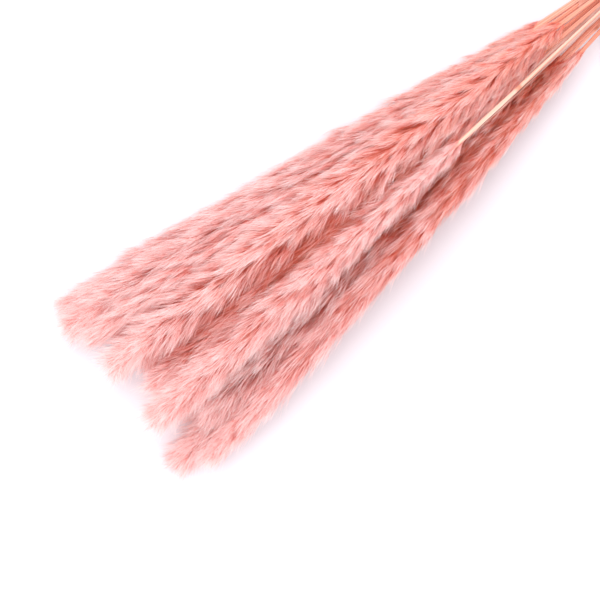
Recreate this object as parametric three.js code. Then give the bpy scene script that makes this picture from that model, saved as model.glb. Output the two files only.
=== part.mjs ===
// A bundle of dyed plume grass lying on a table: fourteen cut stalks held by an elastic band,
// each a round stem that carries one long soft plume, with a few dry leaf sheaths left on the stems.
// Millimetres, +Z up. +X runs from the cut ends to the plume tips and +Y across the bundle.
import * as THREE from "three";

// ---------------------------------------------------------------- driving dimensions
const BUNDLE_LENGTH = 600; // cut ends to the furthest plume tip
const FAN_WIDTH = 160; // between the axes of the two outermost stalks, at the plume tips
const TIE_WIDTH = 13; // the same between them at the band
const FAN_CURVE = 1.1; // 1 for a straight fan, more for one that opens faster towards the tips
const TIE_FROM_CUT = 70; // cut ends to the middle of the band
const STEM_RADIUS = 1.9; // at the cut end
const STEM_TOP_RADIUS = 1.5; // where the plume starts
const PLUME_SCALE = 1; // all plume radii together
const PLUME_TIP_RADIUS = 3.5; // of the blunt end that stands for the last wisps
const CLOSING_FROM = 0.8; // share of a plume's length where it starts to close
const PLUME_FLATNESS = 0.62; // height over width where the plumes lie pressed on each other
const SHEATH_WALL = 0.45;
const SHEATH_FIT = 0.3; // air between a sheath and its stem
const BAND_WIDTH = 7;
const BAND_THICKNESS = 1.8;
const BAND_GAP = 0.3; // air between the band and the stems
const AIR = 0.5; // air between two neighbouring stalks
const FIT_GAP = 0.3; // air between a stem's end and its plume

// ---------------------------------------------------------------- how finely things are faceted
const STATION = 25; // every stalk has its sections at the same places along X
const SHORTEST_STEP = 2; // between a stalk's first or last section and the next
const PLUME_SIDES = 10; // even, so that the lowest side of a section is level
const STEM_SIDES = 8;
const SHEATH_SIDES = 6; // round the wrapped part of a sheath
const BAND_SIDES = 24; // a multiple of 4, so that the band has a level underside
const SETTLE_ROUNDS = 400; // how often a stalk is straightened between its supports

// ---------------------------------------------------------------- the stalks, in the order they are laid down
// across: place in the fan, from -1 to 1      tipBack: how far the tip stops short of the furthest one
// stem: length of the bare stem               radius: of the plume, which fills the rest of the length
// bow: sideways bend at mid length            swell: share of the plume in which it reaches its radius
const STALKS = [
  { across: -1, tipBack: 10, stem: 172, radius: 11.5, swell: 0.45, bow: 3 },
  { across: 0, tipBack: 34, stem: 200, radius: 11, swell: 0.7, bow: 0 },
  { across: 0.48, tipBack: 34, stem: 190, radius: 11, swell: 0.6, bow: 0 },
  { across: -0.44, tipBack: 30, stem: 195, radius: 11, swell: 0.7, bow: 0 },
  { across: -0.14, tipBack: 38, stem: 200, radius: 11, swell: 0.6, bow: 0 },
  { across: 0.82, tipBack: 0, stem: 178, radius: 10.5, swell: 0.5, bow: 0 },
  { across: -0.81, tipBack: 4, stem: 182, radius: 11.5, swell: 0.6, bow: 1 },
  { across: 0.64, tipBack: 40, stem: 180, radius: 11, swell: 0.45, bow: 1 },
  { across: 1, tipBack: 27, stem: 168, radius: 12, swell: 0.5, bow: 2 },
  { across: 0.25, tipBack: 42, stem: 194, radius: 10.5, swell: 0.5, bow: 0 },
  { across: 0.13, tipBack: 28, stem: 190, radius: 11.5, swell: 0.6, bow: -1 },
  { across: -0.62, tipBack: 16, stem: 184, radius: 11, swell: 0.6, bow: 2 },
  { across: -0.27, tipBack: 12, stem: 170, radius: 12.5, swell: 0.5, bow: -1 },
  { across: 0.36, tipBack: 12, stem: 283, radius: 11.5, swell: 0.7, bow: 2 },
];

// Dry leaf sheaths: the stalk they sit on, how far past the band they start, how far they stop
// short of the plume, how much of that is a torn strip, and the direction that their middle faces,
// in degrees.
const SHEATHS = [
  { stalk: 14, pastBand: 14, shortOf: 11, strip: 92, turn: -50 },
  { stalk: 12, pastBand: 17, shortOf: 33, strip: 0, turn: 100 },
  { stalk: 9, pastBand: 13, shortOf: 25, strip: 0, turn: 40 },
  { stalk: 1, pastBand: 18, shortOf: 35, strip: 0, turn: 120 },
];
const SHEATH_REACH = 250; // degrees of the stem that a whole sheath wraps
const STRIP_REACH = 50; // degrees left at the torn end of a long strip

// ---------------------------------------------------------------- colours
const MATERIALS = {
  plume: new THREE.MeshStandardMaterial({ color: 0xeeaaa3, roughness: 0.9, metalness: 0 }),
  stem: new THREE.MeshStandardMaterial({ color: 0xeca491, roughness: 0.55, metalness: 0 }),
  sheath: new THREE.MeshStandardMaterial({ color: 0xdda598, roughness: 0.7, metalness: 0 }),
  band: new THREE.MeshStandardMaterial({ color: 0xd9b98c, roughness: 0.6, metalness: 0 }),
};

// ---------------------------------------------------------------- small helpers
const { clamp, degToRad, lerp, smoothstep } = THREE.MathUtils;
const stations = [];
for (let x = 0; x < BUNDLE_LENGTH + STATION; x += STATION) stations.push(x);

// The value at x of a quantity known at the stations.
function between(values, x) {
  const place = clamp(x / STATION, 0, values.length - 1);
  const low = Math.min(Math.floor(place), values.length - 2);
  return lerp(values[low], values[low + 1], place - low);
}

// Sections stay round along the stems and flatten where the plumes lie on each other.
function flatness(x) {
  return lerp(1, PLUME_FLATNESS, smoothstep(x, TIE_FROM_CUT + 2 * STATION, BUNDLE_LENGTH / 2));
}

// Half the width of the fan, between the axes of its outermost stalks.
function halfFan(x) {
  const share = Math.max(0, (x - TIE_FROM_CUT) / (BUNDLE_LENGTH - TIE_FROM_CUT));
  return lerp(TIE_WIDTH, FAN_WIDTH, share ** FAN_CURVE) / 2;
}

// ---------------------------------------------------------------- one stalk's own shape
function stemRadius(stalk, x) {
  return lerp(STEM_RADIUS, STEM_TOP_RADIUS, clamp(x / stalk.stem, 0, 1));
}

// A plume swells from its stem to its full width.
function swollenRadius(stalk, x) {
  const share = clamp((x - stalk.stem) / (stalk.tip - stalk.stem), 0, 1);
  const rise = Math.sin((Math.PI / 2) * Math.min(1, share / stalk.swell));
  return lerp(STEM_TOP_RADIUS, stalk.radius * PLUME_SCALE, rise);
}

// Its end closes to a blunt tip.
function plumeRadius(stalk, x) {
  const share = (x - stalk.stem) / (stalk.tip - stalk.stem);
  return lerp(swollenRadius(stalk, x), PLUME_TIP_RADIUS, smoothstep(share, CLOSING_FROM, 1));
}

// A sheath's inner radius at its corners: its flat sides clear the stem by the fit.
function sheathRadius(stalk, x) {
  const halfSide = degToRad(SHEATH_REACH / SHEATH_SIDES / 2);
  return (stemRadius(stalk, x) + SHEATH_FIT) / Math.cos(halfSide);
}

function sheathStart(stalk) {
  return TIE_FROM_CUT + BAND_WIDTH / 2 + stalk.sheath.pastBand;
}

function sheathEnd(stalk) {
  return stalk.stem - stalk.sheath.shortOf;
}

function hasSheath(stalk, x) {
  return stalk.sheath && x > sheathStart(stalk) - STATION && x < sheathEnd(stalk) + STATION;
}

// Half the room that a stalk needs at x. The closing tip and the air past it take the room of the
// full plume, so that no stalk sags over the end of another.
function room(stalk, x) {
  const bare = hasSheath(stalk, x) ? sheathRadius(stalk, x) + SHEATH_WALL : stemRadius(stalk, x);
  const stem = bare / flatness(x);
  return x > stalk.stem - STATION ? Math.max(stem, swollenRadius(stalk, x)) : stem;
}

function sideways(stalk, x) {
  const share = clamp((x - TIE_FROM_CUT) / (stalk.tip - TIE_FROM_CUT), 0, 1);
  return stalk.across * halfFan(x) + stalk.bow * Math.sin(Math.PI * share);
}

// ---------------------------------------------------------------- laying the stalks down
// Each stalk drops onto the table and the stalks already there, at every station. Past the band it
// is then straightened between the places that hold it up, as a stiff stem straightens itself.
const TO_FLAT_SIDE = Math.cos(Math.PI / PLUME_SIDES); // centre to side, over centre to corner

function isHeld(x) {
  return x < TIE_FROM_CUT + STATION;
}

function supportHeight(stalk, laid, x, index) {
  const own = room(stalk, x);
  const squash = flatness(x);
  const plume = x > stalk.stem - STATION;
  let height = isHeld(x) ? BAND_THICKNESS + BAND_GAP + own : own * squash * (plume ? TO_FLAT_SIDE : 1);
  for (const other of laid) {
    const apart = Math.abs(stalk.y[index] - other.y[index]);
    const touching = own + room(other, x) + AIR;
    if (apart < touching) {
      height = Math.max(height, other.z[index] + squash * Math.sqrt(touching ** 2 - apart ** 2));
    }
  }
  return height;
}

function layDown(stalk, laid) {
  stalk.y = stations.map((x) => sideways(stalk, x));
  const held = stations.map((x, i) => supportHeight(stalk, laid, x, i));
  stalk.z = [...held];
  const first = stations.findIndex((x) => !isHeld(x));
  for (let round = 0; round < SETTLE_ROUNDS; round += 1) {
    for (let i = first; i < held.length - 1; i += 1) {
      stalk.z[i] = Math.max(held[i], (stalk.z[i - 1] + stalk.z[i + 1]) / 2);
    }
  }
}

const stalks = [];
for (const [i, plan] of STALKS.entries()) {
  const tip = BUNDLE_LENGTH - plan.tipBack;
  const sheath = SHEATHS.find((s) => s.stalk === i + 1);
  const stalk = { ...plan, number: i + 1, tip, sheath };
  layDown(stalk, stalks);
  stalks.push(stalk);
}

// ---------------------------------------------------------------- solids that follow a stalk
// Extrudes a section in unit steps, and then moves every ring of it to its place along the stalk.
// The section's own x runs across the bundle and its y upwards; shape turns a point of the section
// into its offset from the stalk's axis at x.
function alongStalk(stalk, section, from, to, shape) {
  const inner = stations.filter((x) => x > from + SHORTEST_STEP && x < to - SHORTEST_STEP);
  const places = [from, ...inner, to];
  const steps = places.length - 1;
  const geometry = new THREE.ExtrudeGeometry(section, { depth: steps, steps, bevelEnabled: false });
  const points = geometry.attributes.position;
  for (let i = 0; i < points.count; i += 1) {
    const x = places[Math.round(points.getZ(i))];
    const offset = shape(x, new THREE.Vector2(points.getX(i), points.getY(i)));
    points.setXYZ(i, x, between(stalk.y, x) + offset.x, between(stalk.z, x) + offset.y);
  }
  return geometry;
}

// A regular polygon of unit radius with a level side at the bottom.
function roundSection(sides) {
  const corners = [];
  for (let i = 0; i < sides; i += 1) {
    const angle = ((i + 0.5) / sides) * 2 * Math.PI - Math.PI / 2;
    corners.push(new THREE.Vector2(Math.cos(angle), Math.sin(angle)));
  }
  return new THREE.Shape(corners);
}

function stemGeometry(stalk) {
  const shape = (x, point) => point.multiplyScalar(stemRadius(stalk, x));
  return alongStalk(stalk, roundSection(STEM_SIDES), 0, stalk.stem - FIT_GAP, shape);
}

function plumeGeometry(stalk) {
  const shape = (x, point) => {
    const radius = plumeRadius(stalk, x);
    return point.multiply(new THREE.Vector2(radius, radius * flatness(x)));
  };
  return alongStalk(stalk, roundSection(PLUME_SIDES), stalk.stem, stalk.tip, shape);
}

// The section of a sheath as an arc between radius 1, its inside, and radius 2, its outside,
// symmetric about the direction of +x.
function arcSection() {
  const corners = [];
  const half = degToRad(SHEATH_REACH / 2);
  for (let i = 0; i <= SHEATH_SIDES; i += 1) {
    const angle = lerp(half, -half, i / SHEATH_SIDES);
    const direction = new THREE.Vector2(Math.cos(angle), Math.sin(angle));
    corners.push(direction);
    corners.unshift(direction.clone().multiplyScalar(2));
  }
  return new THREE.Shape(corners);
}

// A dry sheath wraps its stem with a slit left open. A long one goes on as a narrow torn strip.
function sheathGeometry(stalk) {
  const { strip, turn } = stalk.sheath;
  const end = sheathEnd(stalk);
  const shape = (x, point) => {
    const torn = strip > 0 ? smoothstep(x, end - strip, end) : 0;
    const angle = Math.atan2(point.y, point.x) * lerp(1, STRIP_REACH / SHEATH_REACH, torn);
    const radius = sheathRadius(stalk, x) + (point.length() - 1) * SHEATH_WALL;
    return new THREE.Vector2(radius, 0).rotateAround(new THREE.Vector2(), angle + degToRad(turn));
  };
  return alongStalk(stalk, arcSection(), sheathStart(stalk), end, shape);
}

// ---------------------------------------------------------------- the band round the stems
// How far the stems reach in one direction, at both edges of the band.
function stemsReach(angle) {
  const edges = [TIE_FROM_CUT - BAND_WIDTH / 2, TIE_FROM_CUT + BAND_WIDTH / 2];
  let most = -Infinity;
  for (const stalk of stalks) {
    for (const x of edges) {
      const along = between(stalk.y, x) * Math.cos(angle) + between(stalk.z, x) * Math.sin(angle);
      most = Math.max(most, along + stemRadius(stalk, x));
    }
  }
  return most;
}

// The outline that a band pulled tight round the stems takes, a given distance away from them.
function bandOutline(distance) {
  const step = (2 * Math.PI) / BAND_SIDES;
  const corners = [];
  for (let i = 0; i < BAND_SIDES; i += 1) {
    const first = stemsReach(i * step) + distance;
    const second = stemsReach((i + 1) * step) + distance;
    const alongEdge = (second - first * Math.cos(step)) / Math.sin(step);
    corners.push(new THREE.Vector2(first, alongEdge).rotateAround(new THREE.Vector2(), i * step));
  }
  return corners;
}

function bandGeometry() {
  const section = new THREE.Shape(bandOutline(BAND_GAP + BAND_THICKNESS));
  section.holes.push(new THREE.Path(bandOutline(BAND_GAP)));
  const geometry = new THREE.ExtrudeGeometry(section, { depth: BAND_WIDTH, steps: 1, bevelEnabled: false });
  const turnToX = new THREE.Matrix4().makeBasis(
    new THREE.Vector3(0, 1, 0),
    new THREE.Vector3(0, 0, 1),
    new THREE.Vector3(1, 0, 0),
  );
  return geometry.applyMatrix4(turnToX).translate(TIE_FROM_CUT - BAND_WIDTH / 2, 0, 0);
}

// ---------------------------------------------------------------- the bundle
const bundle = new THREE.Group();

function addPiece(name, geometry, material) {
  const mesh = new THREE.Mesh(geometry, material);
  mesh.name = name;
  bundle.add(mesh);
}

for (const stalk of stalks) {
  const label = String(stalk.number).padStart(2, "0");
  addPiece(`stem_${label}`, stemGeometry(stalk), MATERIALS.stem);
  addPiece(`plume_${label}`, plumeGeometry(stalk), MATERIALS.plume);
  if (stalk.sheath) addPiece(`leaf_sheath_${label}`, sheathGeometry(stalk), MATERIALS.sheath);
}
addPiece("elastic_band", bandGeometry(), MATERIALS.band);

// The origin is the middle of the bundle, on the table.
const extent = new THREE.Box3().setFromObject(bundle);
const middle = extent.getCenter(new THREE.Vector3());
bundle.position.set(-middle.x, -middle.y, -extent.min.z);

export default bundle;
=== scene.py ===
# %% [markdown]
# # A bundle of dyed plume grass, lying down
# The frame holds plain solids: a stem and a plume for each stalk, a few leaf sheaths and one band.
# Each of them is replaced here by what the real thing is: ribbed hollow reed, thousands of silky
# hairs in tufts, thin papery leaf and a wound rubber band. The frame stays the only source of
# places and sizes, so a change of the frame moves everything with it.

# %% Load the frame
import math

import bpy
import numpy as np
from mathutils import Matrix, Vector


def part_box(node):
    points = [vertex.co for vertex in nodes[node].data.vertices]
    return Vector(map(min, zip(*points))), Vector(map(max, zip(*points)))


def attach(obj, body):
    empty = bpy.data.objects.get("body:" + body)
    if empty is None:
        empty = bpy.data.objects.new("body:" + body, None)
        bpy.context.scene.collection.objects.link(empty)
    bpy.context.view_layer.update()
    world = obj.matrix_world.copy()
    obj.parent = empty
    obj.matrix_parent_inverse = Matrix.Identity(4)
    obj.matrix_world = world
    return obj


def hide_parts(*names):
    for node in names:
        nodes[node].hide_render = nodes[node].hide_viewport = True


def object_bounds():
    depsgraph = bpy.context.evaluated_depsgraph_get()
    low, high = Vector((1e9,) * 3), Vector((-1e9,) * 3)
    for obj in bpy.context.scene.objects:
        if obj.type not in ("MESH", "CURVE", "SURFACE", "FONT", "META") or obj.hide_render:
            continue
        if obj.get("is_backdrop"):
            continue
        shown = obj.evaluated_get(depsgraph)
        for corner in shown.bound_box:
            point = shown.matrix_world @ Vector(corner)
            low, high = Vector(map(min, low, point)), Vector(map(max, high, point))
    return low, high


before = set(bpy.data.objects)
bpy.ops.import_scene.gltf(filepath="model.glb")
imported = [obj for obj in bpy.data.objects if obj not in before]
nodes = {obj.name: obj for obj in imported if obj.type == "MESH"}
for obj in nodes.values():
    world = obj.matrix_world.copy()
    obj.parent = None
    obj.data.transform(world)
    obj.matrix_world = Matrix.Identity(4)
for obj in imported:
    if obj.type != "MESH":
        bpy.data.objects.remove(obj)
cad_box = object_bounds()
MM = 0.001
print("frame:", len(nodes), "solids")

# %% [markdown]
# ## Reading the stalks out of the frame
# Every solid of a stalk was swept through upright sections, so its corners lie in planes of equal
# x. Sorting the corners by x gives the sections back, and the middle and half size of each section
# gives the stalk's axis and its girth. That is steadier than measuring the surface anywhere else.

# %% Sections of a swept solid
PLACE_DECIMALS = 5
SAME_PLACE = 0.02 * MM


def rings_of(node):
    """The corners of a swept solid, as pairs of a place along x and the corners that lie there."""
    mesh = nodes[node].data
    points = np.empty(len(mesh.vertices) * 3)
    mesh.vertices.foreach_get("co", points)
    points = points.reshape(-1, 3)
    places = np.unique(np.round(points[:, 0], PLACE_DECIMALS))
    return [(x, points[np.abs(points[:, 0] - x) < SAME_PLACE]) for x in places]


def sections_of(node):
    """Rows of x, y, z, half width and half height, one for each section, from low x to high x."""
    rows = []
    for x, ring in rings_of(node):
        low, high = ring.min(0), ring.max(0)
        middle, half = (low + high) / 2, (high - low) / 2
        rows.append([x, middle[1], middle[2], half[1], half[2]])
    return np.array(rows)


def at_step(rows, step):
    """The rows again, at an even step along their first column."""
    count = max(2, round((rows[-1, 0] - rows[0, 0]) / step) + 1)
    x = np.linspace(rows[0, 0], rows[-1, 0], count)
    return np.column_stack([x] + [np.interp(x, rows[:, 0], column) for column in rows.T[1:]])


def smoothed(rows, rounds):
    """The same rows with their corners rounded off."""
    rows = rows.copy()
    for _ in range(rounds):
        rows[1:-1, 1:] = (rows[:-2, 1:] + 2 * rows[1:-1, 1:] + rows[2:, 1:]) / 4
    return rows


STALKS = sorted(name[-2:] for name in nodes if name.startswith("plume_"))
PATH_STEP = 4 * MM
SMOOTHING_ROUNDS = 12
paths = {}
for label in STALKS:
    stalk = np.vstack([sections_of(f"stem_{label}"), sections_of(f"plume_{label}")])
    paths[label] = smoothed(at_step(stalk, PATH_STEP), SMOOTHING_ROUNDS)
print("stalks:", len(paths), "sections each:", [len(p) for p in paths.values()])

# %% [markdown]
# ## Small helpers
# A material or a Geometry Nodes tree is a list of nodes with settings and links. One function that
# adds a node, sets it and links its inputs keeps every tree below short. Another turns the hex
# colours of a paint chart, which are sRGB, into the linear numbers that a shader works in.

# %% Node, colour and piece helpers
def add(tree, kind, inputs=None, stops=(), **settings):
    """Adds a node. Inputs go by place or name among the active ones, and take a number, a socket
    or a whole node, which stands for its first active output. Stops are for a colour ramp."""
    node = tree.nodes.new(kind)
    for name, value in settings.items():
        setattr(node, name, value)
    for number, (place, colour) in enumerate(stops):
        elements = node.color_ramp.elements
        element = elements[number] if number < 2 else elements.new(place)
        element.position, element.color = place, linear(colour)
    active = [socket for socket in node.inputs if socket.enabled]
    for key, value in (inputs or {}).items():
        named = [socket for socket in active if socket.name == key]
        socket = named[0] if named else active[key]
        if isinstance(value, bpy.types.Node):
            value = next(output for output in value.outputs if output.enabled)
        if isinstance(value, bpy.types.NodeSocket):
            tree.links.new(value, socket)
        else:
            socket.default_value = value
    return node


def linear(hex_colour):
    """An sRGB hex colour as the linear red, green, blue and alpha of a shader socket."""
    parts = [int(hex_colour[i : i + 2], 16) / 255 for i in (1, 3, 5)]
    return [c / 12.92 if c <= 0.04045 else ((c + 0.055) / 1.055) ** 2.4 for c in parts] + [1.0]


def new_material(name):
    material = bpy.data.materials.new(name)
    material.use_nodes = True
    material.node_tree.nodes.clear()
    return material, material.node_tree


def piece_from(name, mesh, slot, *replaced):
    """Adds a finished mesh to the scene in place of CAD solids."""
    piece = bpy.data.objects.new(name, mesh)
    bpy.context.scene.collection.objects.link(piece)
    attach(piece, "root")
    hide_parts(*replaced)
    return piece


# The kinds of node that the trees below use most.
MATHS = "ShaderNodeMath"
VECTOR = "ShaderNodeVectorMath"
COMBINE = "ShaderNodeCombineXYZ"
SPLIT = "ShaderNodeSeparateXYZ"
RANDOM = "FunctionNodeRandomValue"
READ = "GeometryNodeInputNamedAttribute"
STORE = "GeometryNodeStoreNamedAttribute"
PLACE = "GeometryNodeSetPosition"
print("mid grey #808080 as linear light:", round(linear("#808080")[0], 3))

# %% [markdown]
# ## Running a Geometry Nodes tree once
# A tree is a recipe with named inputs. It runs as a modifier on a helper object, each input is set
# by its socket's identifier, and `new_from_object` keeps the result as a plain mesh. The helper
# goes away again, so that only finished pieces are left.

# %% Tree maker and runner
def new_tree(name, inputs):
    """A tree with a Geometry input and output. Inputs go from a name to a socket type and default."""
    tree = bpy.data.node_groups.new(name, "GeometryNodeTree")
    tree.interface.new_socket("Geometry", in_out="OUTPUT", socket_type="NodeSocketGeometry")
    tree.interface.new_socket("Geometry", in_out="INPUT", socket_type="NodeSocketGeometry")
    for label, (kind, default) in inputs.items():
        socket = tree.interface.new_socket(label, in_out="INPUT", socket_type=f"NodeSocket{kind}")
        if default is not None:
            socket.default_value = default
    start = add(tree, "NodeGroupInput")
    return tree, {s.name: s for s in start.outputs if s.name}


def finish_tree(tree, geometry, material):
    """Every tree ends the same way: instances become real faces, and the material is set."""
    real = add(tree, "GeometryNodeRealizeInstances", {"Geometry": geometry})
    painted = add(tree, "GeometryNodeSetMaterial", {"Geometry": real, "Material": material})
    add(tree, "NodeGroupOutput", {"Geometry": painted})


def line_mesh(name, points, closed=False, **attributes):
    """A chain of edges through the points, with named values at each point."""
    mesh = bpy.data.meshes.new(name)
    count = len(points)
    edges = [(i, (i + 1) % count) for i in range(count if closed else count - 1)]
    mesh.from_pydata([tuple(p) for p in points], edges, [])
    for label, values in attributes.items():
        values = np.asarray(values, np.float32)
        kind, key = ("FLOAT_VECTOR", "vector") if values.ndim == 2 else ("FLOAT", "value")
        mesh.attributes.new(label, kind, "POINT").data.foreach_set(key, values.ravel())
    return mesh


def run_tree(tree, mesh, values):
    """The mesh that the tree makes of the given one, with the values on its inputs."""
    helper = bpy.data.objects.new("helper", mesh)
    bpy.context.scene.collection.objects.link(helper)
    modifier = helper.modifiers.new("tree", "NODES")
    modifier.node_group = tree
    for item in tree.interface.items_tree:
        if item.in_out == "INPUT" and item.name in values:
            modifier[item.identifier] = values[item.name]
    graph = bpy.context.evaluated_depsgraph_get()
    result = bpy.data.meshes.new_from_object(helper.evaluated_get(graph), depsgraph=graph)
    bpy.data.objects.remove(helper)
    return result


print("trees so far:", len(bpy.data.node_groups))

# %% [markdown]
# ## Material: dyed plume hair
# Each hair is a dry silky fibre, finer than a human hair, dyed in a bath. Dye gathers where the
# hair joins the stalk, so the root is a warm coral, and the thin end is pale and lets light
# through. The colour is a function of the hair's own UV map: V runs from root to tip, and U is the
# tint of the hair, from deep coral to cool mauve pink. The deep coral of the root stands partly for
# the dye and partly for painted shade: hair that lies in shade is moved towards it on this map.
# A part of the light passes through a hair, which is what makes a plume glow, so a Translucent
# shader is mixed with the Principled one. That light picks up dye on its way, so it gets warmer
# from hair to hair.

# %% Hair material
HAIR_GLOW = 0.55


def make_hair():
    material, tree = new_material("dyed plume hair")
    own = add(tree, SPLIT, {0: add(tree, "ShaderNodeUVMap", uv_map="OFBake")})
    # The deep coral at the root is also the painted shade of hair that lies deep in the pile.
    warm_stops = [(0.0, "#DC654A"), (1.0, "#FFE8DE"), (0.2, "#F0957A"), (0.6, "#FABFAB")]
    cool_stops = [(0.0, "#E47A69"), (1.0, "#FFFEFF"), (0.2, "#FCDBD9"), (0.6, "#FFF5F7")]
    warm = add(tree, "ShaderNodeValToRGB", {"Fac": own.outputs["Y"]}, warm_stops)
    cool = add(tree, "ShaderNodeValToRGB", {"Fac": own.outputs["Y"]}, cool_stops)
    shares = {"Factor": own.outputs["X"], "A": warm.outputs["Color"], "B": cool.outputs["Color"]}
    colour = add(tree, "ShaderNodeMix", shares, data_type="RGBA")
    facts = {"Base Color": colour, "Roughness": 0.5, "Specular IOR Level": 0.3}
    body = add(tree, "ShaderNodeBsdfPrincipled", facts)
    through = {"Factor": 1.0, "A": colour, "B": linear("#FFEEE9")}
    through = add(tree, "ShaderNodeMix", through, data_type="RGBA", blend_type="MULTIPLY")
    glow = add(tree, "ShaderNodeBsdfTranslucent", {"Color": through})
    both = add(tree, "ShaderNodeMixShader", {0: HAIR_GLOW, 1: body, 2: glow})
    add(tree, "ShaderNodeOutputMaterial", {"Surface": both})
    return material


HAIR = make_hair()
print("hair material:", len(HAIR.node_tree.nodes), "nodes")

# %% [markdown]
# ## The plume tree
# A plume is the grass's flower head: a thin axis that carries hundreds of small tufts, all combed
# towards the tip, each a spray of hairs a centimetre or two long. In nodes:
# 1. Points spiral round the axis by the golden angle, as leaves do on most plants, so no rows show.
# 2. Each point is copied once for every ribbon of its tuft, and each copy gets its own direction,
#    length and bend. Towards the tip the tufts are looser, so they melt into smooth fur there.
# 3. On every copy a ribbon of three faces stands for a few fine hairs that cling together. It is
#    repeated tens of thousands of times, so it has as few faces as a bent, tapered ribbon can have.

# %% One hair
HAIR_ROWS = 4
TIP_BLUNTNESS = 2.2
ROOT_WIDTH = 0.45
ROOT_FLARE = 1.8
BEND = 0.22
SAME_POINT = 1e-4


def make_hair_ribbon(tree):
    """A ribbon of unit length along +Y, half of unit width each side, bending towards +Z."""
    sizes = {"Size X": 1.0, "Size Y": 1.0, "Vertices X": 2, "Vertices Y": HAIR_ROWS}
    flat = add(tree, "GeometryNodeMeshGrid", sizes)
    place = add(tree, SPLIT, {0: add(tree, "GeometryNodeInputPosition")})
    along = add(tree, MATHS, {0: place.outputs["Y"], 1: 0.5}, operation="ADD")
    flat = add(tree, STORE, {"Geometry": flat, "Name": "along", "Value": along})
    flat = add(tree, STORE, {"Geometry": flat, "Name": "edge", "Value": place.outputs["X"]})
    closing = add(tree, MATHS, {0: along, 1: TIP_BLUNTNESS}, operation="POWER")
    tip = add(tree, MATHS, {0: 1.0, 1: closing}, operation="SUBTRACT")
    root = {0: along, 1: ROOT_FLARE, 2: ROOT_WIDTH}
    root = add(tree, MATHS, root, operation="MULTIPLY_ADD")
    root = add(tree, MATHS, {0: root, 1: 1.0}, operation="MINIMUM")
    width = add(tree, MATHS, {0: tip, 1: root}, operation="MULTIPLY")
    across = add(tree, MATHS, {0: place.outputs["X"], 1: width}, operation="MULTIPLY")
    bend = add(tree, MATHS, {0: along, 1: along}, operation="MULTIPLY")
    bend = add(tree, MATHS, {0: bend, 1: BEND}, operation="MULTIPLY")
    shape = add(tree, COMBINE, {0: across, 1: along, 2: bend})
    shaped = add(tree, PLACE, {"Geometry": flat, "Position": shape})
    closed = {"Geometry": shaped, "Distance": SAME_POINT}
    return add(tree, "GeometryNodeMergeByDistance", closed)


print("one hair:", HAIR_ROWS - 1, "faces, the last of them a triangle")

# %% Tufts of a plume
GOLDEN_ANGLE = math.pi * (3 - math.sqrt(5))
UP = (0.0, 0.0, 1.0)
RUFFLED_FROM = 5.0
RUFFLE = 0.4


def seeds_from(tree, given, first, count):
    """One seed for each random value of a tree, so that no two of them run together."""
    numbers = [float(number) for number in range(first, first + count)]
    return [add(tree, MATHS, {0: given["Seed"], 1: number}, operation="ADD") for number in numbers]


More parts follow.
